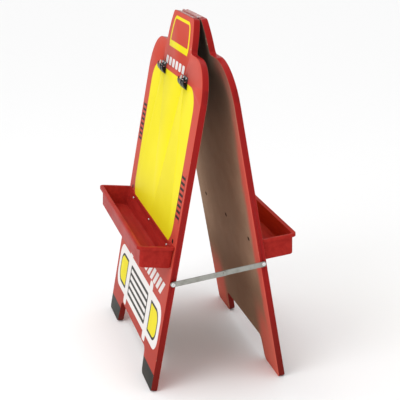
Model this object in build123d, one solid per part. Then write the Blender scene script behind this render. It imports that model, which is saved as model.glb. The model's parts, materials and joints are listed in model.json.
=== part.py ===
from build123d import *
import math
import os

os.makedirs("parts", exist_ok=True)

# Two hinged boards standing as an A-frame.
# Board coordinates used below:
#   u is sideways, v is measured down the board from its top edge,
#   w is measured outwards from the board's inner face.
PANEL_LENGTH = 1000.0
PANEL_WIDTH = 624.0
PANEL_THICK = 18.0
LEAN = 10.1
HALF_GAP = 0.4
AXIS_RISE = 3.9
FOOT_TRIM = 1.2
EDGE_ROUND = 1.5

# Stepped head of each board, shaped like a cab roof with a beacon.
HEAD_TOP_HALF = 110.3
HEAD_BULGE = (132.0, 46.0)
HEAD_FOOT_HALF = 139.9
HEAD_ROUND = 16.0
NECK_ROUND = 12.0
SHOULDER_V = 91.0
SHOULDER_RADIUS = 112.0

# Legs and the gap between them.
FOOT_OUTER_ROUND = 10.0
FOOT_INNER_HALF = 184.6
FOOT_INNER_ROUND = 18.0
CROTCH_V = 927.0
CROTCH_HALF = 174.9
CROTCH_ROUND = 16.0

# Tray on each outer face.
TRAY_HALF_TOP = 298.0
TRAY_HALF_BOTTOM = 294.0
TRAY_DEPTH_TOP = 92.0
TRAY_DEPTH_BOTTOM = 84.0
TRAY_RIM_V = 584.4
TRAY_RIM_TILT = 3.9
TRAY_FLOOR_V = 646.7
TRAY_FLOOR_TILT = 2.9
TRAY_WALL = 2.5
TRAY_BACK_CORNER = 5.0
TRAY_FRONT_CORNER = 11.0
TRAY_LIP = 6.5
TRAY_LIP_DROP = 8.5
TRAY_LIP_WALL = 2.0
TRAY_BACK_EDGE_V = 589.0
TRAY_BACK_EDGE_HALF = 252.0
TRAY_SCREW_U = (-227.0, 0.0, 227.0)
TRAY_SCREW_V = 602.0
TRAY_PILOT_RADIUS = 2.2

# Hinge across the two top edges.
HINGE_LENGTH = 160.0
HINGE_KNUCKLES = 5
HINGE_GAUGE = 1.4
HINGE_REACH = 16.2
BARREL_RADIUS = 3.5
PIN_RADIUS = 1.6
RUNNING_CLEARANCE = 0.05
KNUCKLE_GAP = 0.4
HINGE_SCREWS = ((-64.0, 7.8), (-22.0, 10.2), (22.0, 7.8), (64.0, 10.2))

# Folding stay on the right-hand board edges.
STAY_FRONT_V = 683.0
STAY_REAR_V = 649.0
STAY_W = 9.0
STAY_FRONT_LENGTH = 145.0
STAY_WIDTH = 15.0
STAY_GAUGE = 2.0
STAY_REAR_X = 1.8
STAY_FRONT_X = 4.4
SHOULDER_SCREW_RADIUS = 3.0
STAY_HEAD_RADIUS = 5.0
STUD_ALONG = 24.0
STUD_ACROSS = -3.0

# Paper clips near the top of each board.
CLIP_U = 127.0
CLIP_PIN_V = 167.0
CLIP_PIN_RISE = 7.0
CLIP_BASE_WIDTH = 54.0
CLIP_JAW_WIDTH = 66.0
CLIP_SCREW_RISE = 8.5
CLIP_ARCH_DROP = -11.8
CLIP_ARCH_RADIUS = 17.5

# Row frame: right-hand fittings stand proud of the board edge, so the boards
# sit half that amount to the left of the centre of the whole object.
STAY_PROUD = 9.6
SHIFT_X = -STAY_PROUD / 2
RISE = math.cos(math.radians(LEAN))
RUN = math.sin(math.radians(LEAN))
AXIS_HEIGHT = (PANEL_LENGTH + AXIS_RISE) * RISE - HALF_GAP * RUN - FOOT_TRIM
FRONT = Location((SHIFT_X, 0, AXIS_HEIGHT), (-LEAN, 0, 0))
BACK = Location((SHIFT_X, 0, AXIS_HEIGHT), (0, 0, 180)) * Location((0, 0, 0), (-LEAN, 0, 0))
PANEL_FACE = Plane.XZ.offset(HALF_GAP)


def down(v):
    """Local height of a point v down the board."""
    return -(AXIS_RISE + v)


def out(w):
    """Local Y of a point w outside the board's inner face."""
    return -(HALF_GAP + w)


def save(shape, name):
    export_step(shape, f"parts/{name}.step")


def save_group(solids, name):
    save(Compound(children=solids), name)


def board_point(side, u, v, w):
    """A board point carried into the row frame."""
    return (side * Location((u, out(w), down(v)))).position


# ---------------------------------------------------------------- boards


def right_side():
    """Right side of the board outline with its corners still sharp."""
    half = PANEL_WIDTH / 2
    r = SHOULDER_RADIUS
    c = (half - r, SHOULDER_V + r)
    d = r * math.sin(math.radians(45))
    bulge = (HEAD_BULGE[0], down(HEAD_BULGE[1]))
    head = ThreePointArc((HEAD_TOP_HALF, down(0)), bulge, (HEAD_FOOT_HALF, down(SHOULDER_V)))
    ledge = Line(head @ 1, (c[0], down(SHOULDER_V)))
    shoulder = ThreePointArc(ledge @ 1, (c[0] + d, down(c[1] - d)), (half, down(c[1])))
    edge = Line(shoulder @ 1, (half, down(PANEL_LENGTH)))
    sole = Line(edge @ 1, (FOOT_INNER_HALF, down(PANEL_LENGTH)))
    leg = Line(sole @ 1, (CROTCH_HALF, down(CROTCH_V)))
    return Curve() + [head, ledge, shoulder, edge, sole, leg]


def round_corners(face, half_u, v, radius):
    """Round the pair of outline corners nearest to plus and minus half_u."""
    corners = []
    for hand in (-1, 1):
        target = Vector(hand * half_u, down(v), 0)
        corners.append(face.vertices().sort_by_distance(target)[0])
    return fillet(corners, radius)


def board_face():
    right = right_side()
    top = Line((-HEAD_TOP_HALF, down(0)), (HEAD_TOP_HALF, down(0)))
    crotch = Line((-CROTCH_HALF, down(CROTCH_V)), (CROTCH_HALF, down(CROTCH_V)))
    outline = right + mirror(right, Plane.YZ) + top + crotch
    face = make_face(outline.edges())
    face = round_corners(face, HEAD_TOP_HALF, 0, HEAD_ROUND)
    face = round_corners(face, HEAD_FOOT_HALF, SHOULDER_V, NECK_ROUND)
    face = round_corners(face, PANEL_WIDTH / 2, PANEL_LENGTH, FOOT_OUTER_ROUND)
    face = round_corners(face, FOOT_INNER_HALF, PANEL_LENGTH, FOOT_INNER_ROUND)
    return round_corners(face, CROTCH_HALF, CROTCH_V, CROTCH_ROUND)


def drilled(u, v, w, radius, depth, direction):
    """A drill body entering the board at a point, along a direction."""
    start = Vector(u, out(w), down(v))
    plane = Plane(origin=start, z_dir=direction)
    return extrude(plane * Circle(radius), depth)


def clip_screw_points():
    points = []
    for centre in (-CLIP_U, CLIP_U):
        for offset in (-13.0, 13.0):
            points.append((centre + offset, CLIP_PIN_V - CLIP_SCREW_RISE))
    return points


def panel(stay_u, stay_v):
    """One board with its pilot holes; the stay screws into one side edge."""
    body = extrude(PANEL_FACE * board_face(), PANEL_THICK)
    rims = body.faces().filter_by(Axis.Y).edges()
    body = fillet(rims, EDGE_ROUND)
    for u in TRAY_SCREW_U:
        body -= drilled(u, TRAY_SCREW_V, PANEL_THICK + 1, TRAY_PILOT_RADIUS, PANEL_THICK + 2, (0, 1, 0))
    for u, v in clip_screw_points():
        body -= drilled(u, v, PANEL_THICK + 1, 1.5, 12, (0, 1, 0))
    for u, w in HINGE_SCREWS:
        body -= drilled(u, -1, w - HALF_GAP, 1.5, 16, (0, 0, -1))
    inward = -1 if stay_u > 0 else 1
    body -= drilled(stay_u - inward, stay_v, STAY_W, 1.8, 22, (inward, 0, 0))
    return body


def trimmed_panel(side, stay_u, stay_v):
    """The board in place, with its foot arris rubbed flat on the floor."""
    floor = Pos(0, 0, -50) * Box(2000, 2000, 100)
    return side * panel(stay_u, stay_v) - floor


# ---------------------------------------------------------------- trays


def tray_plane(v, tilt, lift=0.0):
    """A tilted plane across the tray, starting at the board's outer face."""
    t = math.radians(tilt)
    normal = Vector(0, -math.sin(t), math.cos(t))
    origin = Vector(0, out(PANEL_THICK), down(v)) + normal * lift
    return Plane(origin=origin, x_dir=(1, 0, 0), z_dir=normal)


def tray_outline(half, depth, grow, back=0.0):
    """Outline lying in front of the board face; grow widens its front corners."""
    shape = Pos(0, -back) * Rectangle(2 * half, depth - back, align=(Align.CENTER, Align.MAX))
    rows = shape.vertices().group_by(Axis.Y)
    shape = fillet(rows[-1], TRAY_BACK_CORNER)
    front = shape.vertices().group_by(Axis.Y)[0]
    return fillet(front, TRAY_FRONT_CORNER + grow)


def tub(inset, lift_bottom, lift_top):
    top = tray_outline(TRAY_HALF_TOP - inset, TRAY_DEPTH_TOP - inset, -inset, inset)
    low = tray_outline(TRAY_HALF_BOTTOM - inset, TRAY_DEPTH_BOTTOM - inset, -inset, inset)
    upper = tray_plane(TRAY_RIM_V, TRAY_RIM_TILT, lift_top) * top
    lower = tray_plane(TRAY_FLOOR_V, TRAY_FLOOR_TILT, lift_bottom) * low
    solid = loft([lower, upper])
    floor_edges = solid.faces().sort_by(Axis.Z)[0].edges()
    return fillet(floor_edges, 4.0)


def tray():
    """Moulded tub with a turned-down lip and a lowered back edge."""
    rim = tray_plane(TRAY_RIM_V, TRAY_RIM_TILT)
    lip_half = TRAY_HALF_TOP + TRAY_LIP
    lip_depth = TRAY_DEPTH_TOP + TRAY_LIP + 2.0
    wall = TRAY_LIP_WALL
    lip = tray_outline(lip_half, lip_depth, TRAY_LIP)
    inside = tray_outline(lip_half - wall, lip_depth - wall, TRAY_LIP - wall, wall)
    flange = extrude(rim * lip, -TRAY_LIP_WALL)
    skirt = extrude(rim * lip, -TRAY_LIP_DROP) - extrude(rim * inside, -TRAY_LIP_DROP)
    body = tub(0, 0, 0) + flange + skirt
    body -= tub(TRAY_WALL, TRAY_WALL, 3.0)
    notch_height = TRAY_BACK_EDGE_V - TRAY_RIM_V + 4.0
    notch = Box(2 * TRAY_BACK_EDGE_HALF, 8.0, notch_height, align=(Align.CENTER, Align.CENTER, Align.MIN))
    body -= Pos(0, out(PANEL_THICK), down(TRAY_BACK_EDGE_V)) * notch
    for u in TRAY_SCREW_U:
        body -= drilled(u, TRAY_SCREW_V, PANEL_THICK + 5, 2.1, 10, (0, 1, 0))
        body -= drilled(u, TRAY_SCREW_V, PANEL_THICK + TRAY_WALL + 2, 4.3, 2, (0, 1, 0))
    behind = Box(700, 20, 120, align=(Align.CENTER, Align.MIN, Align.MAX))
    body -= Pos(0, out(PANEL_THICK), down(TRAY_RIM_V) + 10) * behind
    return body


# ---------------------------------------------------------------- fasteners


def cross_recess(radius, depth):
    slot = Box(2 * radius, radius * 0.42, depth, align=(Align.CENTER, Align.CENTER, Align.MAX))
    return slot + Rot(0, 0, 90) * slot


def pan_screw(head_radius, head_height, shank_radius, length):
    """Pan head above z = 0 and a pointed shank below it."""
    head = Cylinder(head_radius, head_height, align=(Align.CENTER, Align.CENTER, Align.MIN))
    head = fillet(head.faces().sort_by(Axis.Z)[-1].edges(), head_height * 0.55)
    shank = Pos(0, 0, -length / 2) * Cylinder(shank_radius, length)
    shank = chamfer(shank.faces().sort_by(Axis.Z)[0].edges(), shank_radius * 0.7)
    return head + shank - Pos(0, 0, head_height) * cross_recess(head_radius * 0.55, head_height * 0.6)


def countersunk_screw(head_radius, head_height, shank_radius, length):
    """Flat head whose top face is at z = 0, shank below."""
    cone = Cone(shank_radius, head_radius, head_height, align=(Align.CENTER, Align.CENTER, Align.MAX))
    shank = Pos(0, 0, -length / 2 - head_height / 2) * Cylinder(shank_radius, length - head_height)
    shank = chamfer(shank.faces().sort_by(Axis.Z)[0].edges(), shank_radius * 0.7)
    return cone + shank - cross_recess(head_radius * 0.5, head_height * 0.7)


def facing_out(u, v, w):
    """Location on the board with its local z pointing outwards."""
    return Location(Plane(origin=(u, out(w), down(v)), x_dir=(1, 0, 0), z_dir=(0, -1, 0)))


def tray_screws(side):
    screw = pan_screw(4.0, 2.4, 1.7, 12.0)
    seat = PANEL_THICK + TRAY_WALL
    return [side * facing_out(u, TRAY_SCREW_V, seat) * screw for u in TRAY_SCREW_U]


def clip_screws(side):
    screw = pan_screw(3.2, 1.8, 1.5, 10.0)
    seat = PANEL_THICK + 1.0
    return [side * facing_out(u, v, seat) * screw for u, v in clip_screw_points()]


def hinge_screws(side):
    screw = countersunk_screw(3.0, 1.3, 1.5, 14.0)
    top = -AXIS_RISE + HINGE_GAUGE
    return [side * Location((u, -w, top)) * screw for u, w in HINGE_SCREWS]


# ---------------------------------------------------------------- hinge


def knuckle_span(index):
    step = HINGE_LENGTH / HINGE_KNUCKLES
    start = -HINGE_LENGTH / 2 + index * step
    low = start + (KNUCKLE_GAP / 2 if index > 0 else 0)
    high = start + step - (KNUCKLE_GAP / 2 if index < HINGE_KNUCKLES - 1 else 0)
    return low, high


def along_x(radius, low, high):
    mid = (low + high) / 2
    return Pos(mid, 0, 0) * Rot(0, 90, 0) * Cylinder(radius, high - low)


def hinge_leaf(own):
    """A leaf lying on the board's top edge, with every second knuckle."""
    reach = HINGE_REACH - 0.5
    blank = Box(HINGE_LENGTH, reach, HINGE_GAUGE)
    leaf = Pos(0, -0.5 - reach / 2, -AXIS_RISE + HINGE_GAUGE / 2) * blank
    far = leaf.edges().filter_by(Axis.Z).group_by(Axis.Y)[0]
    leaf = fillet(far, 3.0)
    for index in range(HINGE_KNUCKLES):
        low, high = knuckle_span(index)
        if index in own:
            leaf += along_x(BARREL_RADIUS, low, high)
        else:
            gap = Box(high - low + 2 * KNUCKLE_GAP, 7.0, 6.0)
            leaf -= Pos((low + high) / 2, -0.1, -AXIS_RISE) * gap
    leaf -= along_x(PIN_RADIUS + RUNNING_CLEARANCE, -HINGE_LENGTH, HINGE_LENGTH)
    top = -AXIS_RISE + HINGE_GAUGE
    for u, w in HINGE_SCREWS:
        sink = Cone(1.55, 3.1, 1.55, align=(Align.CENTER, Align.CENTER, Align.MAX))
        leaf -= Pos(u, -w, top) * sink
    return leaf


def hinge_pin():
    half = HINGE_LENGTH / 2
    pin = along_x(PIN_RADIUS, -half - 0.6, half + 0.6)
    for end in (-1, 1):
        low = min(end * half, end * (half + 1.4))
        high = max(end * half, end * (half + 1.4))
        pin += along_x(PIN_RADIUS + 0.9, low + 0.1 * (end > 0), high - 0.1 * (end < 0))
    return Pos(SHIFT_X, 0, AXIS_HEIGHT) * pin


# ---------------------------------------------------------------- stay


def stay_points():
    """Front pivot, rear pivot and the rivet between them, open position."""
    front = board_point(FRONT, 0, STAY_FRONT_V, STAY_W)
    rear = board_point(BACK, 0, STAY_REAR_V, STAY_W)
    span = rear - front
    rivet = front + span.normalized() * STAY_FRONT_LENGTH
    return front, rear, rivet


def stay_x(offset):
    return SHIFT_X + PANEL_WIDTH / 2 + offset


def bar(start, end, offset):
    """A flat link with round ends and a hole at each end."""
    length = (end - start).length
    plane = Plane(
        origin=(stay_x(offset), start.Y, start.Z),
        x_dir=(0, end.Y - start.Y, end.Z - start.Z),
        z_dir=(1, 0, 0),
    )
    shape = Pos(length / 2, 0) * SlotCenterToCenter(length, STAY_WIDTH)
    hole = SHOULDER_SCREW_RADIUS + RUNNING_CLEARANCE
    shape -= Pos(0, 0) * Circle(hole)
    shape -= Pos(length, 0) * Circle(hole)
    return extrude(plane * shape, STAY_GAUGE)


def disc(point, radius, low, high):
    mid = (low + high) / 2
    return Pos(stay_x(mid), point.Y, point.Z) * Rot(0, 90, 0) * Cylinder(radius, high - low)


def domed(point, radius, low, high, ease):
    body = disc(point, radius, low, high)
    return fillet(body.faces().sort_by(Axis.X)[-1].edges(), ease)


def stay_front_spacer(front):
    ring = disc(front, 5.5, 0, STAY_FRONT_X - 0.2)
    return ring - disc(front, 2.1, -1, STAY_FRONT_X)


def stay_front_screw(front):
    link_out = STAY_FRONT_X + STAY_GAUGE
    body = disc(front, SHOULDER_SCREW_RADIUS, STAY_FRONT_X - 0.2, link_out + 0.3)
    body += disc(front, 1.8, -18, STAY_FRONT_X)
    body += domed(front, STAY_HEAD_RADIUS + 0.6, link_out + 0.2, STAY_PROUD, 1.6)
    recess = Pos(stay_x(STAY_PROUD), front.Y, front.Z) * Rot(0, 90, 0) * cross_recess(2.6, 1.6)
    return body - recess


def stay_rear_washer(rear):
    ring = disc(rear, 6.0, 0, STAY_REAR_X - 0.2)
    return ring - disc(rear, 2.1, -1, STAY_REAR_X)


def flush_seat(point, extra):
    """Tapered seat that lets the rear screw finish level with its link."""
    link_out = STAY_REAR_X + STAY_GAUGE
    small = SHOULDER_SCREW_RADIUS + extra
    cone = Cone(small, STAY_HEAD_RADIUS + extra, 1.4)
    return Pos(stay_x(link_out - 0.7), point.Y, point.Z) * Rot(0, 90, 0) * cone


def stay_rear_screw(rear):
    link_out = STAY_REAR_X + STAY_GAUGE
    body = disc(rear, SHOULDER_SCREW_RADIUS, STAY_REAR_X - 0.2, link_out)
    body += disc(rear, 1.8, -18, STAY_REAR_X)
    body += flush_seat(rear, 0)
    recess = Pos(stay_x(link_out), rear.Y, rear.Z) * Rot(0, 90, 0) * cross_recess(2.3, 1.2)
    return body - recess


def stay_rear_link(rear, rivet):
    return bar(rear, rivet, STAY_REAR_X) - flush_seat(rear, RUNNING_CLEARANCE)


def stay_rivet(rivet):
    """Head and shank of the middle rivet, stopping just short of the rear link."""
    link_out = STAY_FRONT_X + STAY_GAUGE
    body = disc(rivet, SHOULDER_SCREW_RADIUS + RUNNING_CLEARANCE, STAY_FRONT_X - 0.1, link_out)
    return body + domed(rivet, STAY_HEAD_RADIUS, link_out, link_out + 2.0, 1.3)


def stay_stud(front, rear):
    along = (rear - front).normalized()
    across = Vector(0, -along.Z, along.Y)
    spot = front + along * STUD_ALONG + across * STUD_ACROSS
    link_out = STAY_FRONT_X + STAY_GAUGE
    return domed(spot, 2.2, link_out, link_out + 1.2, 0.8)


# ---------------------------------------------------------------- clips
# Clip coordinates: x sideways, y up the board and z outwards, all from the
# pin's centre.


def clip_frame(side, u):
    return side * facing_out(u, CLIP_PIN_V, PANEL_THICK + CLIP_PIN_RISE)


def sideways(face, low, high):
    """Extrude a y-z section of the clip along x between two positions."""
    return Pos(low, 0, 0) * extrude(Plane.YZ * face, high - low)


def clip_base():
    """Screwed-down plate with two upright ears that hold the pin."""
    t = 1.0
    width = CLIP_BASE_WIDTH
    plate = Box(width, 31.5, t, align=(Align.CENTER, Align.CENTER, Align.MIN))
    plate = Pos(0, -2.25, -CLIP_PIN_RISE) * plate
    plate = fillet(plate.edges().filter_by(Axis.Z), 4.0)
    ear = Circle(4.2) + Pos(0, -CLIP_PIN_RISE / 2) * Rectangle(8.4, CLIP_PIN_RISE)
    ear -= Circle(1.55)
    for x in (-24.6, 23.4):
        plate += sideways(ear, x, x + 1.2)
    for x in (-13.0, 13.0):
        plate -= Pos(x, CLIP_SCREW_RISE, -CLIP_PIN_RISE) * Cylinder(1.7, 6)
    return plate


def clip_pin():
    pin = along_x(1.5, -25.6, 25.6)
    for end in (-1, 1):
        pin += along_x(2.3, end * 25.7 - 0.7, end * 25.7 + 0.7)
    return pin


def clip_coil():
    """Wound spring lying loosely round the pin, between the lever's cheeks."""
    wire = 0.8
    turns = 3.5
    pitch = 2.4
    coil = Helix(pitch=pitch, height=pitch * turns, radius=3.2)
    start = coil @ 0
    section = Plane(origin=start, z_dir=coil % 0) * Circle(wire)
    spring = sweep(section, path=coil, is_frenet=True)
    return Rot(0, 90, 0) * Pos(0, 0, -pitch * turns / 2) * spring


def arch(radius, start, end):
    """Arc about the clip's arch centre; 90 degrees is straight above the pin."""
    points = []
    for angle in (start, (start + end) / 2, end):
        t = math.radians(angle)
        points.append((-radius * math.cos(t), CLIP_ARCH_DROP + radius * math.sin(t)))
    return ThreePointArc(points[0], points[1], points[2])


def clip_lever():
    """Bent steel lever: thumb tab above the pin, tongue over the jaw below."""
    radius = CLIP_ARCH_RADIUS + 1.4
    tongue = arch(radius, 52, 96)
    tab = Line(tongue @ 1, (15.5, 5.0))
    lever = sideways(trace(Curve() + [tongue, tab], line_width=1.2), -7, 7)
    corners = lever.edges().filter_by(lambda e: abs(e.length - 1.2) < 0.05)
    lever = fillet(corners.group_by(Axis.Y)[-1], 4.0)
    cheek = Circle(4.0) + Pos(0, 3.4) * Rectangle(5.6, 6.8) - Circle(1.55)
    for x in (-6.8, 5.6):
        lever += sideways(cheek, x, x + 1.2)
    return lever


def clip_jaw():
    """Black moulded gripping bar, curved over the ears, with raised closed ends."""
    half = CLIP_JAW_WIDTH / 2
    shell = trace(arch(CLIP_ARCH_RADIUS, 22, 94), line_width=1.6)
    foot = Pos(-16.8, -4.8) * Rectangle(3.2, 1.2)
    jaw = sideways(shell + foot, -half, half)
    horn = trace(arch(CLIP_ARCH_RADIUS, 90, 118), line_width=1.6)
    brow = arch(CLIP_ARCH_RADIUS, 24, 92)
    cap = make_face(Curve() + [brow, Line(brow @ 1, (0.7, -2.6)), Line((0.7, -2.6), brow @ 0)])
    lug = Circle(3.4) + Pos(0, 2.9) * Rectangle(5.0, 5.8) - Circle(1.55)
    for hand in (-1, 1):
        ends = sorted((hand * 26.8, hand * half))
        jaw += sideways(horn, *ends)
        ends = sorted((hand * (half - 1.6), hand * half))
        jaw += sideways(cap, *ends)
        ends = sorted((hand * 21.0, hand * 22.6))
        jaw += sideways(lug, *ends)
    return jaw


def clip_jaw_set():
    """The lever and its jaw, with the jaw relieved to seat the tongue."""
    lever = clip_lever()
    jaw = clip_jaw() - lever
    return lever, jaw


# ---------------------------------------------------------------- output


def main():
    save(trimmed_panel(FRONT, PANEL_WIDTH / 2, STAY_FRONT_V), "front_panel")
    save(trimmed_panel(BACK, -PANEL_WIDTH / 2, STAY_REAR_V), "back_panel")

    tub_shape = tray()
    save(FRONT * tub_shape, "front_tray")
    save(BACK * tub_shape, "back_tray")
    save_group(tray_screws(FRONT), "front_tray_screws")
    save_group(tray_screws(BACK), "back_tray_screws")

    save(FRONT * hinge_leaf((0, 2, 4)), "hinge_front_leaf")
    save(BACK * hinge_leaf((1, 3)), "hinge_back_leaf")
    save(hinge_pin(), "hinge_pin")
    save_group(hinge_screws(FRONT), "hinge_front_screws")
    save_group(hinge_screws(BACK), "hinge_back_screws")

    front, rear, rivet = stay_points()
    save(bar(front, rivet, STAY_FRONT_X), "stay_front_link")
    save(stay_rear_link(rear, rivet), "stay_rear_link")
    save(stay_front_spacer(front), "stay_front_spacer")
    save(stay_front_screw(front), "stay_front_screw")
    save(stay_rear_washer(rear), "stay_rear_washer")
    save(stay_rear_screw(rear), "stay_rear_screw")
    save(stay_rivet(rivet), "stay_middle_rivet")
    save(stay_stud(front, rear), "stay_stop_stud")

    base = clip_base()
    coil = clip_coil()
    lever, jaw = clip_jaw_set()
    sides = (("front", FRONT), ("back", BACK))
    for side_name, side in sides:
        save_group(clip_screws(side), f"{side_name}_clip_screws")
        pins = []
        for hand, u in (("left", -CLIP_U), ("right", CLIP_U)):
            place = clip_frame(side, u)
            save(place * base, f"{side_name}_{hand}_clip_base")
            save(place * coil, f"{side_name}_{hand}_clip_spring")
            save(place * lever, f"{side_name}_{hand}_clip_lever")
            save(place * jaw, f"{side_name}_{hand}_clip_jaw")
            pins.append(place * clip_pin())
        save_group(pins, f"{side_name}_clip_pins")


main()
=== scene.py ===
import json
import math

import bpy
from mathutils import Matrix, Vector


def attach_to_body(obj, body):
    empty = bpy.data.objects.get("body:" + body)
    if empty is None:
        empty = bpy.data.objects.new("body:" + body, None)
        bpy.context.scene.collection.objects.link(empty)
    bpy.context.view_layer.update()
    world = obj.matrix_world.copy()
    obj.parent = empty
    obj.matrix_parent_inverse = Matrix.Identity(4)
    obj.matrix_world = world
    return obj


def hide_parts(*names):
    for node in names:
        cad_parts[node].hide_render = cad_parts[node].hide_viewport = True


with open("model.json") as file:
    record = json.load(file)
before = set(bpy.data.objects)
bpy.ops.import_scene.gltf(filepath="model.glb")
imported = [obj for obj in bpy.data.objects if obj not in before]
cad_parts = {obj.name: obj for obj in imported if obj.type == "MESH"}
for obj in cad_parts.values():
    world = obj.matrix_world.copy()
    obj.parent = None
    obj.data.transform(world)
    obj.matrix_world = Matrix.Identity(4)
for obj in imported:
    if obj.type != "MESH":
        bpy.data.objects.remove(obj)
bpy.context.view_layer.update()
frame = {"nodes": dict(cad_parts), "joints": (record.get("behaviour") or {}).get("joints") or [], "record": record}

# ------------------------------------------------------------------ sizes
# Metres, in the frame's own axes, unless a name ends in _MM.

MM = 0.001
LEAN = math.radians(10.1)
BOARD_THICK_MM = 18.0
BOARD_HALF_MM = 312.0
BOARD_LENGTH_MM = 1000.0
HINGE_RISE_MM = 3.9
HALF_GAP_MM = 0.4
DIP_LEVEL = 0.830
TRAY_HOLE_PITCH_MM = 227.0

# Shapes on a board, in millimetres sideways from its middle and down from its
# top edge: left, right, top, bottom and corner radius.
BOARD_BODY = (-BOARD_HALF_MM, BOARD_HALF_MM, 91, 1300, 112)
BOARD_HEAD = (-127, 127, 0, 300, 16)
LEG_GAP = (-178, 178, 927, 1400, 16)
WINDSCREEN = (-252, 252, 170, 600, 62)
SILL_BAR = (-104.4, 104.4, 85.1, 102.9, 1.5)
BEACON_OUTSIDE = (-107, 107, 13, 160, 17)
BEACON_INSIDE = (-95.5, 95.5, 21.5, 160, 10)
BUMPER = (-289, 289, 763.5, 898.5, 42)
BUMPER_TAB = (122, 158, 742, 921, 10)
GRILLE_FRAME = (-122, 122, 785.5, 881.5, 8)
LAMP_RIM_ROUND = (163, 264, 787, 880, 36)
LAMP_RIM_SQUARE = (163, 215, 787, 880, 4)
LAMP_LENS_ROUND = (170.5, 256.5, 794.5, 872.5, 29)
LAMP_LENS_SQUARE = (170.5, 212, 794.5, 872.5, 2)

joints = {joint["name"]: joint for joint in frame["joints"]}
HINGE_LINE = Vector(joints["panel_fold"]["pos_m"])
BOARD_TURNS = {"front": (-LEAN, 0.0, 0.0), "back": (-LEAN, 0.0, math.pi)}

nodes = frame["nodes"]
body_of_node = {}
for body, names in frame["record"]["behaviour"]["bodies"].items():
    for name in names:
        body_of_node[name] = body

# ------------------------------------------------------------------ paint box

RED = (0.54, 0.066, 0.042, 1)
RED_DEEP = (0.44, 0.046, 0.030, 1)
RED_SAWN = (0.34, 0.013, 0.012, 1)
YELLOW = (0.80, 0.69, 0.010, 1)
WHITE = (0.80, 0.78, 0.76, 1)
DARK_GREY = (0.026, 0.028, 0.024, 1)
BLACK = (0.010, 0.010, 0.010, 1)
FIBRE = (0.570, 0.395, 0.268, 1)
FIBRE_DARK = (0.350, 0.215, 0.140, 1)

# The same paint and bare board where they soak in or get dirty, and where painted shade darkens them.
RED_PAINTED_SHADE_LOW = (0.37, 0.036, 0.022, 1)
RED_SOAKED = (0.26, 0.011, 0.010, 1)
RED_SAWN_PAINTED_SHADE_LOW = (0.13, 0.012, 0.008, 1)
RED_DUST = (0.72, 0.122, 0.088, 1)
FIBRE_PAINTED_SHADE_LOW = (0.17, 0.082, 0.040, 1)
FIBRE_PAINTED_SHADE_TOP = (0.060, 0.042, 0.032, 1)
HOLE_PAINTED_SHADE = (0.010, 0.007, 0.005, 1)
FOOT_GRIME = (0.06, 0.045, 0.035, 1)

# Plastic and metal: pairs are a main tone and a second one.
TRAY_RED = ((0.400, 0.026, 0.020, 1), (0.330, 0.019, 0.015, 1))
TRAY_SCRATCH = (0.50, 0.12, 0.10, 1)
TRAY_DUST = (0.30, 0.20, 0.10, 1)
MOULDED_BLACK = ((0.007, 0.007, 0.007, 1), (0.013, 0.013, 0.012, 1))
BLACK_SCRATCH = (0.10, 0.10, 0.10, 1)
DIPPED_BLACK = (0.013, 0.013, 0.012, 1)
STEEL_SCRATCH = (0.85, 0.85, 0.84, 1)
ZINC = ((0.36, 0.36, 0.33, 1), (0.22, 0.22, 0.19, 1))
BRIGHT = ((0.80, 0.80, 0.81, 1), (0.58, 0.58, 0.57, 1))
OVERSPRAYED = ((0.62, 0.34, 0.32, 1), (0.42, 0.10, 0.09, 1))
BLUED = ((0.060, 0.060, 0.062, 1), (0.030, 0.030, 0.030, 1))
LEVER_STEEL = ((0.62, 0.66, 0.59, 1), (0.42, 0.46, 0.39, 1))

# How rolling lines on steel are stretched: along the easel's width, across it,
# or not at all.
LINES_ALONG = (1.0, 18.0, 18.0)
LINES_ACROSS = (18.0, 1.0, 1.0)
NO_LINES = (1.0, 1.0, 1.0)

# ------------------------------------------------------------------ node helpers


def feed(tree, socket, value):
    """Link an output into a socket, or set the socket's own value."""
    if isinstance(value, bpy.types.NodeSocket):
        tree.links.new(value, socket)
    else:
        socket.default_value = value


def maths(tree, operation, *values):
    node = tree.nodes.new("ShaderNodeMath")
    node.operation = operation
    for socket, value in zip(node.inputs, values):
        feed(tree, socket, value)
    return node.outputs[0]


def ramp(tree, value, low, high, start=0.0, end=1.0, smooth=True):
    """Carry value from the range low..high to start..end, held at both ends."""
    node = tree.nodes.new("ShaderNodeMapRange")
    node.interpolation_type = "SMOOTHSTEP" if smooth else "LINEAR"
    feed(tree, node.inputs["Value"], value)
    feed(tree, node.inputs["From Min"], low)
    feed(tree, node.inputs["From Max"], high)
    feed(tree, node.inputs["To Min"], start)
    feed(tree, node.inputs["To Max"], end)
    return node.outputs["Result"]


def mixed_value(tree, factor, first, second):
    """First where the factor is 0, second where it is 1."""
    kept = maths(tree, "MULTIPLY", maths(tree, "SUBTRACT", 1.0, factor), first)
    return maths(tree, "ADD", maths(tree, "MULTIPLY", factor, second), kept)


def blend_colour(tree, factor, first, second):
    node = tree.nodes.new("ShaderNodeMix")
    node.data_type = "RGBA"
    feed(tree, node.inputs["Factor"], factor)
    feed(tree, node.inputs[6], first)
    feed(tree, node.inputs[7], second)
    return node.outputs[2]


def noise(tree, vector, scale, detail=4.0, roughness=0.55):
    node = tree.nodes.new("ShaderNodeTexNoise")
    feed(tree, node.inputs["Vector"], vector)
    feed(tree, node.inputs["Scale"], scale)
    feed(tree, node.inputs["Detail"], detail)
    feed(tree, node.inputs["Roughness"], roughness)
    return node.outputs["Fac"]


def split(tree, vector):
    node = tree.nodes.new("ShaderNodeSeparateXYZ")
    feed(tree, node.inputs[0], vector)
    return node.outputs


def stretched(tree, vector, scale, turn=(0, 0, 0)):
    """The vector turned, then stretched by a separate scale on each axis."""
    node = tree.nodes.new("ShaderNodeMapping")
    feed(tree, node.inputs["Vector"], vector)
    node.inputs["Rotation"].default_value = turn
    node.inputs["Scale"].default_value = scale
    return node.outputs["Vector"]


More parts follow.
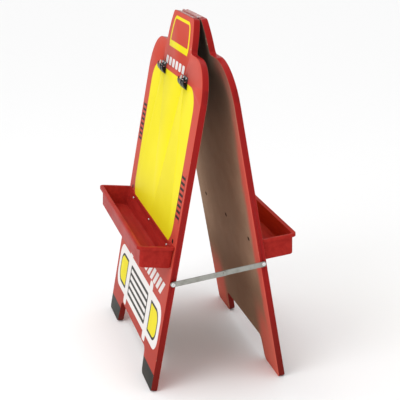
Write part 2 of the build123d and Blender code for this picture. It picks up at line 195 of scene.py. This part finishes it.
def place_group(tree, group, **inputs):
    node = tree.nodes.new("ShaderNodeGroup")
    node.node_tree = group
    for label, value in inputs.items():
        feed(tree, node.inputs[label.replace("_", " ")], value)
    return node.outputs


def new_group(name, inputs, outputs):
    """An empty node group with named sockets; returns (group, ins, outs)."""
    group = bpy.data.node_groups.new(name, "ShaderNodeTree")
    for label, kind, value in inputs:
        socket = group.interface.new_socket(name=label, in_out="INPUT", socket_type=kind)
        if value is not None:
            socket.default_value = value
    for label, kind in outputs:
        group.interface.new_socket(name=label, in_out="OUTPUT", socket_type=kind)
    ins = group.nodes.new("NodeGroupInput").outputs
    outs = group.nodes.new("NodeGroupOutput").inputs
    return group, ins, outs


NUMBER = "NodeSocketFloat"
ARROW = "NodeSocketVector"
BOARD_PLACE = [("U", NUMBER, 0.0), ("V", NUMBER, 0.0)]

# ------------------------------------------------------------------ shared effects


def make_patch_group():
    """Signed distance to a rectangle with round corners; negative inside."""
    labels = ("U", "V", "Centre U", "Centre V", "Half Width", "Half Height", "Corner")
    group, ins, outs = new_group(
        "Rounded patch", [(label, NUMBER, 0.0) for label in labels], [("Distance", NUMBER)]
    )
    corner = ins["Corner"]
    across = maths(group, "ABSOLUTE", maths(group, "SUBTRACT", ins["U"], ins["Centre U"]))
    along = maths(group, "ABSOLUTE", maths(group, "SUBTRACT", ins["V"], ins["Centre V"]))
    across = maths(group, "SUBTRACT", across, maths(group, "SUBTRACT", ins["Half Width"], corner))
    along = maths(group, "SUBTRACT", along, maths(group, "SUBTRACT", ins["Half Height"], corner))
    out_u = maths(group, "MAXIMUM", across, 0.0)
    out_v = maths(group, "MAXIMUM", along, 0.0)
    square_u = maths(group, "MULTIPLY", out_u, out_u)
    square_v = maths(group, "MULTIPLY", out_v, out_v)
    outside = maths(group, "SQRT", maths(group, "ADD", square_u, square_v))
    inside = maths(group, "MINIMUM", maths(group, "MAXIMUM", across, along), 0.0)
    distance = maths(group, "SUBTRACT", maths(group, "ADD", outside, inside), corner)
    feed(group, outs["Distance"], distance)
    return group


PATCH = make_patch_group()


def patch(tree, u, v, centre, half, corner):
    result = place_group(
        tree,
        PATCH,
        U=u,
        V=v,
        Centre_U=centre[0],
        Centre_V=centre[1],
        Half_Width=half[0],
        Half_Height=half[1],
        Corner=corner,
    )
    return result["Distance"]


def spanned(tree, u, v, left, right, top, bottom, corner):
    """Patch given by its four edges."""
    centre = ((left + right) / 2, (top + bottom) / 2)
    half = ((right - left) / 2, (bottom - top) / 2)
    return patch(tree, u, v, centre, half, corner)


def filled(tree, distance, soft=0.45):
    """1 inside a distance field and 0 outside, with a thin soft border."""
    return ramp(tree, distance, -soft, soft, 1.0, 0.0)


def joined(tree, *values):
    result = values[0]
    for value in values[1:]:
        result = maths(tree, "MAXIMUM", result, value)
    return result


def nearest(tree, *values):
    result = values[0]
    for value in values[1:]:
        result = maths(tree, "MINIMUM", result, value)
    return result


def without(tree, mask, hole):
    return maths(tree, "MULTIPLY", mask, maths(tree, "SUBTRACT", 1.0, hole))


def repeated(tree, value, pitch, first):
    """Fold a coordinate so that a shape centred at 0 repeats at every pitch."""
    shifted = maths(tree, "SUBTRACT", value, first - pitch / 2)
    folded = maths(tree, "WRAP", shifted, pitch, 0.0)
    return maths(tree, "SUBTRACT", folded, pitch / 2)


def within(tree, value, centre, reach, soft=1.0):
    """1 up to a reach each side of a centre, then fading to 0 over a soft border."""
    off_centre = maths(tree, "ABSOLUTE", maths(tree, "SUBTRACT", value, centre))
    return ramp(tree, off_centre, reach, reach + soft, 1.0, 0.0)


def ladder(tree, u, v, centre, first, pitch, reach, rail):
    """A small painted ladder: rungs down the board between two thin rails."""
    rung_v = repeated(tree, v, pitch, first)
    rungs = filled(tree, patch(tree, u, rung_v, (centre[0], 0.0), (18.0, 3.7), 1.0))
    rungs = maths(tree, "MULTIPLY", rungs, within(tree, v, centre[1], reach))
    rail_u = maths(tree, "ABSOLUTE", maths(tree, "SUBTRACT", u, centre[0]))
    rails = filled(tree, patch(tree, rail_u, v, (18.6, centre[1]), (1.3, rail), 0.5))
    return maths(tree, "MAXIMUM", rungs, rails)


def make_outline_group():
    """Distance inwards from the board's sawn outline."""
    group, ins, outs = new_group("Board outline", BOARD_PLACE, [("Inset", NUMBER)])
    u, v = ins["U"], ins["V"]
    body = spanned(group, u, v, *BOARD_BODY)
    feet = maths(group, "SUBTRACT", v, BOARD_LENGTH_MM)
    head = spanned(group, u, v, *BOARD_HEAD)
    gap = spanned(group, u, v, *LEG_GAP)
    whole = nearest(group, maths(group, "MAXIMUM", body, feet), head)
    whole = maths(group, "MAXIMUM", whole, maths(group, "MULTIPLY", gap, -1.0))
    feed(group, outs["Inset"], maths(group, "MULTIPLY", whole, -1.0))
    return group


def make_markings_group():
    """The painted cab front: masks for each colour over the red ground."""
    group, ins, outs = new_group(
        "Cab markings",
        BOARD_PLACE,
        [("Yellow", NUMBER), ("White", NUMBER), ("Grey", NUMBER), ("Black", NUMBER)],
    )
    u, v = ins["U"], ins["V"]
    side = maths(group, "ABSOLUTE", u)

    # Windscreen, sill bar and the beacon's outline are yellow.
    screen = filled(group, spanned(group, u, v, *WINDSCREEN))
    bar = filled(group, spanned(group, u, v, *SILL_BAR))
    drop = maths(group, "SUBTRACT", 80.0, v)
    taper = maths(group, "MULTIPLY", drop, maths(group, "ADD", 0.10, maths(group, "MULTIPLY", drop, 0.0036)))
    width = maths(group, "SUBTRACT", 107.0, taper)
    flared = maths(group, "MULTIPLY", side, maths(group, "DIVIDE", 107.0, width))
    outer = filled(group, spanned(group, flared, v, *BEACON_OUTSIDE), 0.6)
    inner = filled(group, spanned(group, flared, v, *BEACON_INSIDE), 0.6)
    above = ramp(group, v, 93.5, 94.5, 1.0, 0.0)
    beacon = maths(group, "MULTIPLY", without(group, outer, inner), above)

    # White: a row of plain lozenges, the bumper and its tabs, slanted bars.
    tile_u = repeated(group, u, 38.0, -101.0)
    tiles = filled(group, patch(group, tile_u, v, (0.0, 143.0), (13.0, 11.5), 5.0))
    tiles = maths(group, "MULTIPLY", tiles, within(group, u, -6.0, 113.5))
    lean_back = maths(group, "MULTIPLY", maths(group, "SUBTRACT", 740.5, v), 35.0 / 40.5)
    slant = maths(group, "SUBTRACT", u, lean_back)
    bar_u = repeated(group, slant, 37.0, 153.5)
    slats = filled(group, patch(group, bar_u, v, (0.0, 720.0), (12.5, 20.5), 3.0))
    slats = maths(group, "MULTIPLY", slats, within(group, slant, 0.0, 242.0))
    bumper = filled(group, spanned(group, u, v, *BUMPER))
    tabs = filled(group, spanned(group, side, v, *BUMPER_TAB))

    # Grille: grey frame and rails with four white openings.
    frame_mask = filled(group, spanned(group, u, v, *GRILLE_FRAME))
    row_v = repeated(group, v, 21.5, 801.2)
    openings = filled(group, patch(group, u, row_v, (0.0, 0.0), (113.5, 6.1), 2.5))
    openings = maths(group, "MULTIPLY", openings, within(group, v, 833.5, 42.0, 0.6))
    grille = without(group, frame_mask, openings)

    # Headlamps: round outside, square inside, with a grey rim.
    rim = joined(
        group,
        filled(group, spanned(group, side, v, *LAMP_RIM_ROUND)),
        filled(group, spanned(group, side, v, *LAMP_RIM_SQUARE)),
    )
    lens = joined(
        group,
        filled(group, spanned(group, side, v, *LAMP_LENS_ROUND)),
        filled(group, spanned(group, side, v, *LAMP_LENS_SQUARE)),
    )
    feet = ramp(group, v, 950.0, 951.0)

    # A small black ladder each side of the windscreen, and a spot by the tray.
    near = ladder(group, u, v, centre=(275.0, 454.3), first=400.0, pitch=15.5, reach=61.5, rail=66.0)
    far = ladder(group, u, v, centre=(-279.0, 367.9), first=315.0, pitch=15.1, reach=60.0, rail=64.0)
    spots = filled(group, patch(group, side, v, (271.0, 577.0), (6.5, 6.0), 3.0))

    yellow = joined(group, screen, bar, beacon, lens)
    white = joined(group, tiles, slats, bumper, tabs)
    grey = joined(group, grille, without(group, rim, lens), feet)
    feed(group, outs["Yellow"], yellow)
    feed(group, outs["White"], without(group, white, lens))
    feed(group, outs["Grey"], grey)
    feed(group, outs["Black"], joined(group, near, far, spots))
    return group


def make_mottle_group():
    """Broad and fine unevenness of a sprayed or moulded surface, near 0.5 on average."""
    group, ins, outs = new_group(
        "Uneven coat",
        [("Vector", ARROW, None), ("Broad", NUMBER, 6.0), ("Fine", NUMBER, 400.0)],
        [("Broad Patches", NUMBER), ("Orange Peel", NUMBER)],
    )
    broad = noise(group, ins["Vector"], ins["Broad"], 3.0, 0.5)
    fine = noise(group, ins["Vector"], ins["Fine"], 2.0, 0.4)
    feed(group, outs["Broad Patches"], broad)
    feed(group, outs["Orange Peel"], fine)
    return group


def make_scratch_group():
    """Thin random scratches: two crossed sets of stretched noise ridges."""
    group, ins, outs = new_group(
        "Fine scratches",
        [("Vector", ARROW, None), ("Scale", NUMBER, 60.0), ("Amount", NUMBER, 0.5)],
        [("Scratches", NUMBER)],
    )
    total = None
    for turn, stretch in (((0.2, 0.4, 0.5), (1.0, 14.0, 14.0)), ((0.9, -0.3, -0.8), (14.0, 1.0, 14.0))):
        moved = stretched(group, ins["Vector"], stretch, turn)
        grain = noise(group, moved, ins["Scale"], 2.0, 0.6)
        ridge = maths(group, "ABSOLUTE", maths(group, "SUBTRACT", grain, 0.5))
        line = ramp(group, ridge, 0.0, 0.006, 1.0, 0.0)
        total = line if total is None else maths(group, "MAXIMUM", total, line)
    gate = ramp(group, noise(group, ins["Vector"], 9.0, 2.0), 0.50, 0.62)
    total = maths(group, "MULTIPLY", maths(group, "MULTIPLY", total, gate), ins["Amount"])
    feed(group, outs["Scratches"], total)
    return group


OUTLINE = make_outline_group()
MARKINGS = make_markings_group()
COAT = make_mottle_group()
SCRATCHES = make_scratch_group()

# ------------------------------------------------------------------ materials


def new_material(name):
    material = bpy.data.materials.new(name)
    material.use_nodes = True
    tree = material.node_tree
    shader = tree.nodes["Principled BSDF"]
    here = tree.nodes.new("ShaderNodeTexCoord").outputs["Object"]
    return material, tree, shader, here


def bump(tree, height, distance, strength):
    node = tree.nodes.new("ShaderNodeBump")
    node.inputs["Strength"].default_value = strength
    node.inputs["Distance"].default_value = distance
    feed(tree, node.inputs["Height"], height)
    return node.outputs["Normal"]


def board_coordinates(tree, here, side):
    """Sideways, down-the-board and outward distances in millimetres."""
    node = tree.nodes.new("ShaderNodeMapping")
    node.vector_type = "TEXTURE"
    feed(tree, node.inputs["Vector"], here)
    node.inputs["Location"].default_value = HINGE_LINE
    node.inputs["Rotation"].default_value = BOARD_TURNS[side]
    node.inputs["Scale"].default_value = (MM, MM, MM)
    along = split(tree, node.outputs["Vector"])
    u = along[0]
    v = maths(tree, "SUBTRACT", maths(tree, "MULTIPLY", along[2], -1.0), HINGE_RISE_MM)
    w = maths(tree, "SUBTRACT", maths(tree, "MULTIPLY", along[1], -1.0), HALF_GAP_MM)
    return u, v, w


def marking_mask(tree, mark, outer_face, wobble):
    """Where a marking covers the outer face, with a slightly ragged border."""
    mask = maths(tree, "ADD", maths(tree, "MULTIPLY", mark, outer_face), wobble)
    mask = maths(tree, "MINIMUM", maths(tree, "MAXIMUM", mask, 0.0), 1.0)
    mask = maths(tree, "MULTIPLY", mask, ramp(tree, mark, 0.02, 0.2))
    return maths(tree, "MULTIPLY", mask, outer_face)


def painted_board(side):
    """Sprayed red board with painted markings, bare fibre on its inner face."""
    material, tree, shader, here = new_material(f"{side} board paint")
    u, v, w = board_coordinates(tree, here, side)
    marks = place_group(tree, MARKINGS, U=u, V=v)
    inset = place_group(tree, OUTLINE, U=u, V=v)["Inset"]
    coat = place_group(tree, COAT, Vector=here, Broad=5.0, Fine=420.0)
    scratches = place_group(tree, SCRATCHES, Vector=here, Scale=35.0, Amount=0.5)["Scratches"]
    ragged = maths(tree, "SUBTRACT", noise(tree, here, 260.0, 3.0), 0.5)

    outer_face = ramp(tree, w, BOARD_THICK_MM - 0.9, BOARD_THICK_MM - 0.3)
    inner_face = ramp(tree, w, 0.3, 1.3, 1.0, 0.0)
    sawn_edge = maths(tree, "SUBTRACT", maths(tree, "SUBTRACT", 1.0, outer_face), inner_face)

    # The red ground varies a little in depth; sawn edges soak up more paint. Both are
    # darkened toward the feet as painted shade, for light that falls off lower down.
    ground = blend_colour(tree, ramp(tree, coat["Broad Patches"], 0.3, 0.7), RED, RED_DEEP)
    ground = blend_colour(tree, 0.22, RED, ground)
    ground = blend_colour(tree, ramp(tree, v, 560.0, 960.0, 0.0, 0.85), ground, RED_PAINTED_SHADE_LOW)
    fibres = noise(tree, here, 900.0, 4.0, 0.7)
    edge_red = blend_colour(tree, ramp(tree, fibres, 0.35, 0.7), RED_SAWN, RED_SOAKED)
    edge_red = blend_colour(tree, ramp(tree, v, 620.0, 1000.0, 0.0, 0.75), edge_red, RED_SAWN_PAINTED_SHADE_LOW)
    colour = blend_colour(tree, sawn_edge, ground, edge_red)

    # Markings lie over the red on the outer face only.
    wobble = maths(tree, "MULTIPLY", ragged, 0.12)
    for label, paint in (("Yellow", YELLOW), ("White", WHITE), ("Grey", DARK_GREY), ("Black", BLACK)):
        mask = marking_mask(tree, marks[label], outer_face, wobble)
        if label == "White":
            mask = without(tree, mask, maths(tree, "MULTIPLY", marks["Grey"], outer_face))
        shade = tuple(channel * 0.95 for channel in paint[:3]) + (1,)
        tint = blend_colour(tree, ramp(tree, coat["Broad Patches"], 0.35, 0.7), paint, shade)
        colour = blend_colour(tree, mask, colour, tint)

    # Bare fibre inside, darkened at the top and low down as painted shade. Red
    # overspray creeps in from one side edge and up from both legs.
    fibre_fine = noise(tree, here, 520.0, 6.0, 0.75)
    fibre_broad = noise(tree, here, 14.0, 3.0, 0.6)
    bare = blend_colour(tree, ramp(tree, fibre_fine, 0.3, 0.75), FIBRE_DARK, FIBRE)
    bare = blend_colour(tree, ramp(tree, fibre_broad, 0.35, 0.75, 0.0, 0.5), bare, FIBRE_DARK)
    bare = blend_colour(tree, ramp(tree, v, 650.0, 800.0, 0.0, 0.6), bare, FIBRE_PAINTED_SHADE_LOW)
    bare = blend_colour(tree, ramp(tree, v, 30.0, 400.0, 0.88, 0.0), bare, FIBRE_PAINTED_SHADE_TOP)
    drift = maths(tree, "MULTIPLY", maths(tree, "SUBTRACT", fibre_broad, 0.5), 40.0)
    reach = maths(tree, "ADD", inset, drift)
    spray = ramp(tree, reach, 22.0, 74.0, 1.0, 0.0)
    legs = ramp(tree, maths(tree, "ADD", v, drift), 760.0, 900.0, 0.0, 0.62)
    fade = ramp(tree, v, 180.0, 420.0, 0.25, 1.0)
    fade = maths(tree, "MULTIPLY", fade, ramp(tree, v, 640.0, 900.0, 1.0, 0.72))
    legs = maths(tree, "MULTIPLY", legs, ramp(tree, maths(tree, "ABSOLUTE", u), 140.0, 225.0))
    sprayed_side = maths(tree, "MULTIPLY", u, -1.0 if side == "back" else 1.0)
    spray = maths(tree, "MULTIPLY", spray, ramp(tree, sprayed_side, 140.0, 225.0))
    spray = maths(tree, "MAXIMUM", maths(tree, "MULTIPLY", spray, fade), legs)
    specks = ramp(tree, maths(tree, "ADD", fibre_fine, maths(tree, "MULTIPLY", spray, 0.55)), 0.62, 0.80)
    spray = maths(tree, "MULTIPLY", maths(tree, "ADD", spray, maths(tree, "MULTIPLY", specks, 0.25)), 0.85)
    inside = blend_colour(tree, maths(tree, "MINIMUM", spray, 1.0), bare, RED_DUST)
    colour = blend_colour(tree, inner_face, colour, inside)

    # Painted shade: the mouths of the tray's three through holes are darkened for the shade inside them.
    half_pitch = TRAY_HOLE_PITCH_MM / 2
    mouth_u = maths(tree, "ABSOLUTE", maths(tree, "SUBTRACT", maths(tree, "ABSOLUTE", u), half_pitch))
    mouth_u = maths(tree, "SUBTRACT", mouth_u, half_pitch)
    mouth = filled(tree, patch(tree, mouth_u, v, (0.0, 602.0), (8.6, 5.6), 5.0), 0.8)
    mouth = maths(tree, "MULTIPLY", mouth, ramp(tree, w, 1.5, 3.0, 1.0, 0.0))
    colour = blend_colour(tree, maths(tree, "MULTIPLY", mouth, 0.9), colour, HOLE_PAINTED_SHADE)

    # Arrises rub through to the fibre in small chips.
    edge_near = ramp(tree, inset, 0.2, 1.8, 1.0, 0.0)
    corner_in = ramp(tree, w, 0.0, 1.4, 1.0, 0.0)
    corner_out = ramp(tree, w, BOARD_THICK_MM - 1.4, BOARD_THICK_MM, 0.0, 1.0)
    arris = maths(tree, "MULTIPLY", edge_near, maths(tree, "MAXIMUM", corner_in, corner_out))
    wear = maths(tree, "ADD", noise(tree, here, 70.0, 5.0, 0.7), maths(tree, "MULTIPLY", arris, 0.16))
    chip = ramp(tree, wear, 0.74, 0.78)
    chip = maths(tree, "MULTIPLY", chip, maths(tree, "MULTIPLY", arris, 0.9))
    colour = blend_colour(tree, chip, colour, FIBRE)
    grime = ramp(tree, v, 965.0, 1000.0, 0.0, 0.35)
    grime = maths(tree, "MULTIPLY", grime, ramp(tree, fibre_broad, 0.3, 0.7))
    colour = blend_colour(tree, grime, colour, FOOT_GRIME)
    feed(tree, shader.inputs["Base Color"], colour)

    satin = ramp(tree, coat["Broad Patches"], 0.3, 0.7, 0.44, 0.50)
    satin = maths(tree, "ADD", satin, maths(tree, "MULTIPLY", scratches, 0.2))
    glossy_edge = ramp(tree, fibres, 0.3, 0.7, 0.20, 0.34)
    rough = mixed_value(tree, sawn_edge, satin, glossy_edge)
    rough = maths(tree, "ADD", rough, maths(tree, "MULTIPLY", inner_face, 0.42))
    feed(tree, shader.inputs["Roughness"], maths(tree, "MINIMUM", rough, 1.0))
    shader.inputs["IOR"].default_value = 1.46
    shader.inputs["Specular IOR Level"].default_value = 0.07

    relief = maths(tree, "MULTIPLY", coat["Orange Peel"], maths(tree, "SUBTRACT", 1.0, inner_face))
    fibre_relief = maths(tree, "MULTIPLY", fibre_fine, maths(tree, "ADD", inner_face, 0.12))
    relief = maths(tree, "ADD", relief, fibre_relief)
    paint_step = joined(tree, marks["Yellow"], marks["White"], marks["Grey"])
    paint_step = maths(tree, "MULTIPLY", paint_step, outer_face)
    relief = maths(tree, "ADD", relief, maths(tree, "MULTIPLY", paint_step, 0.8))
    feed(tree, shader.inputs["Normal"], bump(tree, relief, 0.00012, 0.6))
    return material


def red_plastic():
    """Satin moulded plastic with faint flow marks, dust and handling scratches."""
    material, tree, shader, here = new_material("red moulded plastic")
    coat = place_group(tree, COAT, Vector=here, Broad=9.0, Fine=220.0)
    flow = noise(tree, stretched(tree, here, (4.0, 30.0, 30.0)), 3.0, 3.0, 0.5)
    scratches = place_group(tree, SCRATCHES, Vector=here, Scale=55.0, Amount=1.0)["Scratches"]
    colour = blend_colour(tree, ramp(tree, flow, 0.3, 0.7), *TRAY_RED)
    colour = blend_colour(tree, maths(tree, "MULTIPLY", scratches, 0.12), colour, TRAY_SCRATCH)
    normal = tree.nodes.new("ShaderNodeNewGeometry").outputs["Normal"]
    upward = ramp(tree, split(tree, normal)[2], 0.55, 0.98)
    settled = ramp(tree, noise(tree, here, 40.0, 6.0, 0.7), 0.42, 0.75, 0.0, 0.10)
    dust = maths(tree, "MULTIPLY", upward, settled)
    colour = blend_colour(tree, dust, colour, TRAY_DUST)
    feed(tree, shader.inputs["Base Color"], colour)
    gloss = ramp(tree, coat["Broad Patches"], 0.3, 0.7, 0.30, 0.38)
    gloss = maths(tree, "ADD", gloss, maths(tree, "MULTIPLY", scratches, 0.2))
    gloss = maths(tree, "ADD", gloss, maths(tree, "MULTIPLY", dust, 1.2))
    feed(tree, shader.inputs["Roughness"], gloss)
    shader.inputs["IOR"].default_value = 1.36
    shader.inputs["Specular IOR Level"].default_value = 0.035
    relief = maths(tree, "ADD", coat["Orange Peel"], maths(tree, "MULTIPLY", flow, 3.0))
    relief = maths(tree, "SUBTRACT", relief, maths(tree, "MULTIPLY", scratches, 0.5))
    feed(tree, shader.inputs["Normal"], bump(tree, relief, 0.00010, 0.4))
    return material


def plated_steel(name, tone, dull, rough, brushed, axis_scale):
    """Plated steel: spangle, rolling lines along one axis, dull stains."""
    material, tree, shader, here = new_material(name)
    spangle = tree.nodes.new("ShaderNodeTexVoronoi")
    spangle.inputs["Scale"].default_value = 420.0
    feed(tree, spangle.inputs["Vector"], here)
    flakes = split(tree, spangle.outputs["Color"])[0]
    lines = noise(tree, stretched(tree, here, axis_scale), 160.0, 3.0, 0.6)
    stain = ramp(tree, noise(tree, here, 55.0, 5.0, 0.65), 0.45, 0.75)
    scratches = place_group(tree, SCRATCHES, Vector=here, Scale=120.0, Amount=1.0)["Scratches"]
    colour = blend_colour(tree, maths(tree, "MULTIPLY", flakes, 0.22), tone, dull)
    colour = blend_colour(tree, maths(tree, "MULTIPLY", stain, 0.55), colour, dull)
    colour = blend_colour(tree, maths(tree, "MULTIPLY", scratches, 0.5), colour, STEEL_SCRATCH)
    feed(tree, shader.inputs["Base Color"], colour)
    shader.inputs["Metallic"].default_value = 1.0
    value = ramp(tree, stain, 0.0, 1.0, rough, rough + 0.16, False)
    value = maths(tree, "ADD", value, maths(tree, "MULTIPLY", maths(tree, "SUBTRACT", lines, 0.5), brushed))
    feed(tree, shader.inputs["Roughness"], value)
    relief = maths(tree, "MULTIPLY", lines, brushed * 3)
    relief = maths(tree, "ADD", relief, maths(tree, "MULTIPLY", scratches, -0.5))
    feed(tree, shader.inputs["Normal"], bump(tree, relief, 0.00006, 0.6))
    return material


def dipped_lever(name, tone, dull):
    """Plated steel thumb tab; everything below the pin is dipped in black vinyl."""
    material = plated_steel(name, tone, dull, 0.34, 0.08, LINES_ACROSS)
    tree = material.node_tree
    shader = tree.nodes["Principled BSDF"]
    here = tree.nodes.new("ShaderNodeTexCoord").outputs["Object"]
    ragged = maths(tree, "MULTIPLY", maths(tree, "SUBTRACT", noise(tree, here, 300.0), 0.5), 0.002)
    level = maths(tree, "ADD", split(tree, here)[2], ragged)
    dip = ramp(tree, level, DIP_LEVEL - 0.0006, DIP_LEVEL + 0.0006, 1.0, 0.0)
    base = shader.inputs["Base Color"]
    feed(tree, base, blend_colour(tree, dip, base.links[0].from_socket, DIPPED_BLACK))
    for label, value in (("Metallic", 0.0), ("Roughness", 0.30)):
        socket = shader.inputs[label]
        before = socket.links[0].from_socket if socket.is_linked else socket.default_value
        feed(tree, socket, mixed_value(tree, dip, before, value))
    return material


def black_plastic():
    """Spark-eroded black moulding, slightly shiny where fingers rub it."""
    material, tree, shader, here = new_material("black moulded plastic")
    coat = place_group(tree, COAT, Vector=here, Broad=30.0, Fine=1500.0)
    scratches = place_group(tree, SCRATCHES, Vector=here, Scale=150.0, Amount=1.0)["Scratches"]
    colour = blend_colour(tree, ramp(tree, coat["Broad Patches"], 0.3, 0.7), *MOULDED_BLACK)
    colour = blend_colour(tree, maths(tree, "MULTIPLY", scratches, 0.4), colour, BLACK_SCRATCH)
    feed(tree, shader.inputs["Base Color"], colour)
    feed(tree, shader.inputs["Roughness"], ramp(tree, coat["Broad Patches"], 0.3, 0.7, 0.22, 0.36))
    shader.inputs["Specular IOR Level"].default_value = 0.12
    feed(tree, shader.inputs["Normal"], bump(tree, coat["Orange Peel"], 0.00008, 0.5))
    return material


materials = {
    "front_board": painted_board("front"),
    "back_board": painted_board("back"),
    "red_plastic": red_plastic(),
    "zinc_steel": plated_steel("zinc plated steel", *ZINC, 0.42, 0.12, LINES_ALONG),
    "bright_steel": plated_steel("bright plated steel", *BRIGHT, 0.20, 0.08, LINES_ACROSS),
    "screw_steel": plated_steel("screw steel", *BRIGHT, 0.26, 0.06, NO_LINES),
    "hinge_leaf": plated_steel("oversprayed hinge steel", *OVERSPRAYED, 0.42, 0.10, LINES_ALONG),
    "clip_lever": dipped_lever("dipped lever steel", *LEVER_STEEL),
    "clip_base": plated_steel("blued clip steel", *BLUED, 0.30, 0.08, LINES_ACROSS),
    "black_plastic": black_plastic(),
}

# ------------------------------------------------------------------ pieces

CREASE = math.radians(30.0)
BEVEL_SEGMENTS = 2


def deselect():
    for obj in bpy.context.selected_objects:
        obj.select_set(False)


def make_active(obj):
    deselect()
    obj.select_set(True)
    bpy.context.view_layer.objects.active = obj


def finish_copy(node, soften):
    """A welded copy of a frame node, with its arrises eased if soften isn't 0."""
    obj = nodes[node].copy()
    obj.data = nodes[node].data.copy()
    obj.name = f"{node}_finished"
    obj.parent = None
    obj.matrix_world = Matrix.Identity(4)
    bpy.context.scene.collection.objects.link(obj)
    make_active(obj)
    bpy.ops.object.mode_set(mode="EDIT")
    bpy.ops.mesh.select_all(action="SELECT")
    bpy.ops.mesh.remove_doubles(threshold=0.000002)
    bpy.ops.mesh.normals_make_consistent(inside=False)
    if soften:
        bpy.ops.mesh.dissolve_limited(angle_limit=math.radians(1.0))
    bpy.ops.object.mode_set(mode="OBJECT")
    if soften:
        bevel = obj.modifiers.new("eased arris", "BEVEL")
        bevel.width = soften
        bevel.segments = BEVEL_SEGMENTS
        bevel.limit_method = "ANGLE"
        bevel.angle_limit = CREASE
        bpy.ops.object.modifier_apply(modifier=bevel.name)
    bpy.ops.object.shade_smooth_by_angle(angle=CREASE)
    return obj


def attach(obj, node, material):
    obj.data.materials.clear()
    obj.data.materials.append(material)
    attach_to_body(obj, body_of_node[node])
    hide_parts(node)


slot_of = {entry["node"]: entry["material_slot"] for entry in frame["record"]["subparts"]}

# Bevel widths in metres; a board's rounded rims are in its own mesh.
SOFTEN = {
    "painted_board": 0,
    "red_plastic": 0.0007,
    "zinc_steel": 0.00025,
    "bright_steel": 0.00020,
    "screw_steel": 0.00015,
    "black_plastic": 0.0003,
}
OWN_FINISH = (("lever", "clip_lever"), ("base", "clip_base"), ("leaf", "hinge_leaf"))


def finish_of(node, slot):
    """The finish a node wears: its slot's, or one for its own kind of piece."""
    if slot == "painted_board":
        return "front_board" if node.startswith("front") else "back_board"
    for ending, name in OWN_FINISH:
        if node.endswith(ending):
            return name
    return slot


for node in nodes:
    slot = slot_of[node]
    piece = finish_copy(node, 0 if "spring" in node else SOFTEN[slot])
    attach(piece, node, materials[finish_of(node, slot)])

# ------------------------------------------------------------------ stage


def stage_floor():
    make_active(nodes["front_panel"])
    deselect()
    bpy.ops.mesh.primitive_plane_add(size=60.0, location=(0, 0, 0))
    floor = bpy.context.active_object
    floor.name = "studio_floor"
    material, _, shader, _ = new_material("studio floor")
    shader.inputs["Base Color"].default_value = (0.90, 0.90, 0.90, 1)
    shader.inputs["Roughness"].default_value = 0.9
    shader.inputs["Specular IOR Level"].default_value = 0.1
    floor.data.materials.append(material)


def aimed(data, direction):
    """A light object whose beam comes from the given direction."""
    light = bpy.data.objects.new(data.name, data)
    light.rotation_euler = Vector(direction).to_track_quat("Z", "Y").to_euler()
    bpy.context.scene.collection.objects.link(light)
    return light


def soft_sun(name, direction, spread, strength):
    """A broad even light from far away."""
    data = bpy.data.lights.new(name, "SUN")
    data.energy = strength
    data.angle = math.radians(spread)
    aimed(data, direction)


def soft_box(name, place, target, size, power):
    """A round area light near the object, so its light falls off with distance."""
    data = bpy.data.lights.new(name, "AREA")
    data.shape = "DISK"
    data.size = size
    data.energy = power
    light = aimed(data, Vector(place) - Vector(target))
    light.location = place


def studio():
    world = bpy.data.worlds.new("soft studio")
    bpy.context.scene.world = world
    world.use_nodes = True
    backdrop = world.node_tree.nodes["Background"]
    backdrop.inputs["Color"].default_value = (1.0, 1.0, 1.0, 1)
    backdrop.inputs["Strength"].default_value = 0.78
    soft_sun("overhead", (-0.15, -0.25, 1.0), 70.0, 0.95)
    soft_box("key", (1.15, -1.85, 2.25), (0.0, 0.0, 0.7), 1.7, 25.0)
    bpy.context.scene.view_settings.view_transform = "Standard"


def camera():
    data = bpy.data.cameras.new("camera")
    data.lens = 95.9
    data.sensor_width = 36.0
    data.clip_end = 100.0
    cam = bpy.data.objects.new("camera", data)
    cam.location = (2.8910, -0.7316, 1.3608)
    looking = Vector((-0.92477, 0.24230, -0.29340))
    cam.rotation_euler = looking.to_track_quat("-Z", "Y").to_euler()
    bpy.context.scene.collection.objects.link(cam)
    bpy.context.scene.camera = cam


stage_floor()
studio()
camera()
